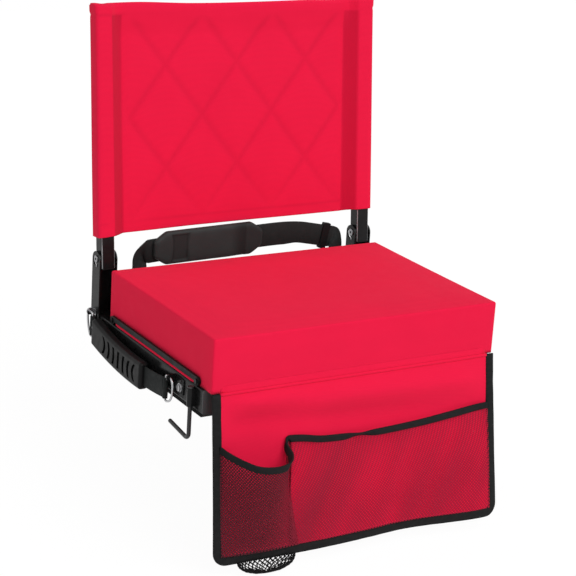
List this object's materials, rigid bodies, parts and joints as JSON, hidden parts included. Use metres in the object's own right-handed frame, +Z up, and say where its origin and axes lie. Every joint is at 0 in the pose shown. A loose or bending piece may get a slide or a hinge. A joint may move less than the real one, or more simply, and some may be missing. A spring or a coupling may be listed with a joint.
{
  "type": "stadium seat",
  "caption": "Folding stadium seat: thick padded cushion on a tube frame, fabric back that folds forward, wire bench hooks, side carry handle, shoulder strap and a front flap with mesh pockets.",
  "frame": {"origin": "middle of the underside of the middle foot pad, on the plane that rests on the bench", "axes": "+X to the right seen from the front, +Y to the back of the seat, +Z up"},
  "size_m": [0.4647, 0.449, 0.6665],
  "materials": {
    "red_fabric": "woven polyester, matt",
    "red_mesh": "open knitted mesh",
    "black_net": "open knotted net",
    "black_webbing": "woven tape",
    "black_steel": "satin powder coat",
    "dark_wire": "satin black wire",
    "bright_steel": "bright zinc",
    "black_plastic": "fine grained",
    "black_rubber": "matt",
    "plywood": "raw plywood",
    "foam": "open-cell foam"
  },
  "bodies": {
    "seat_base": {"cushion_cover": "red_fabric", "shoulder_strap": "black_webbing", "left_side_rail": "black_steel", "right_side_rail": "black_steel", "front_cross_tube": "black_steel", "middle_cross_tube": "black_steel", "rear_cross_tube": "black_steel", "left_hinge_bracket": "black_steel", "right_hinge_bracket": "black_steel", "bracket_bolts": "black_steel", "left_hook_sleeve": "black_steel", "right_hook_sleeve": "black_steel", "handle_front_tab": "black_steel", "handle_rear_lug": "black_steel", "strap_lugs": "black_steel", "edge_bar_screws": "black_steel", "board_bolts": "bright_steel", "pivot_rivets": "bright_steel", "handle_tab_bolt": "bright_steel", "handle_tab_washer": "bright_steel", "strap_rings": "bright_steel", "left_edge_bar": "black_plastic", "right_edge_bar": "black_plastic", "rail_end_caps": "black_plastic", "hinge_washers": "black_plastic", "shoulder_pad": "black_plastic", "left_foot_strip": "black_rubber", "right_foot_strip": "black_rubber", "middle_foot_pad": "black_rubber", "seat_board": "plywood", "seat_foam": "foam"},
    "back": {"left_upright": "black_steel", "right_upright": "black_steel", "stop_pins": "bright_steel", "upright_plugs": "black_plastic", "top_crossbar": "black_steel", "back_cover": "red_fabric"},
    "flap": {"pocket_flap": "red_fabric", "flap_binding": "black_webbing", "cup_pocket": "red_mesh", "cup_pocket_binding": "black_webbing", "cup_pocket_net": "black_net", "flat_pocket": "red_mesh", "flat_pocket_binding": "black_webbing"},
    "handle": {"handle_rings": "bright_steel", "handle_strap": "black_webbing", "handle_strap_rivet": "bright_steel", "handle_grip": "black_plastic"},
    "left_hook": {"left_bench_hook": "dark_wire"},
    "right_hook": {"right_bench_hook": "dark_wire"},
    "buckle": {"strap_buckle": "black_plastic"}
  },
  "joints": [
    {"name": "back_fold", "type": "hinge", "parent": "seat_base", "child": "back", "pos_m": [0, 0.186, 0.117], "axis": [1, 0, 0], "range_deg": [0, 88]},
    {"name": "flap_swing", "type": "hinge", "parent": "seat_base", "child": "flap", "pos_m": [0, -0.15234, 0.03666], "axis": [-1, 0, 0], "range_deg": [-30, 125]},
    {"name": "handle_swing", "type": "hinge", "parent": "seat_base", "child": "handle", "pos_m": [-0.22795, -0.06, 0.03], "axis": [0, 0.999, 0.0441], "range_deg": [0, 150]},
    {"name": "left_hook_swivel", "type": "hinge", "parent": "seat_base", "child": "left_hook", "pos_m": [-0.22415, -0.111, 0.022], "axis": [0, 0, 1], "range_deg": [-90, 135]},
    {"name": "right_hook_swivel", "type": "hinge", "parent": "seat_base", "child": "right_hook", "pos_m": [0.22415, -0.111, 0.022], "axis": [0, 0, -1], "range_deg": [-90, 135]},
    {"name": "buckle_slide", "type": "slide", "parent": "seat_base", "child": "buckle", "axis": [0.978, 0, -0.2084], "range_m": [-0.028, 0]}
  ]
}
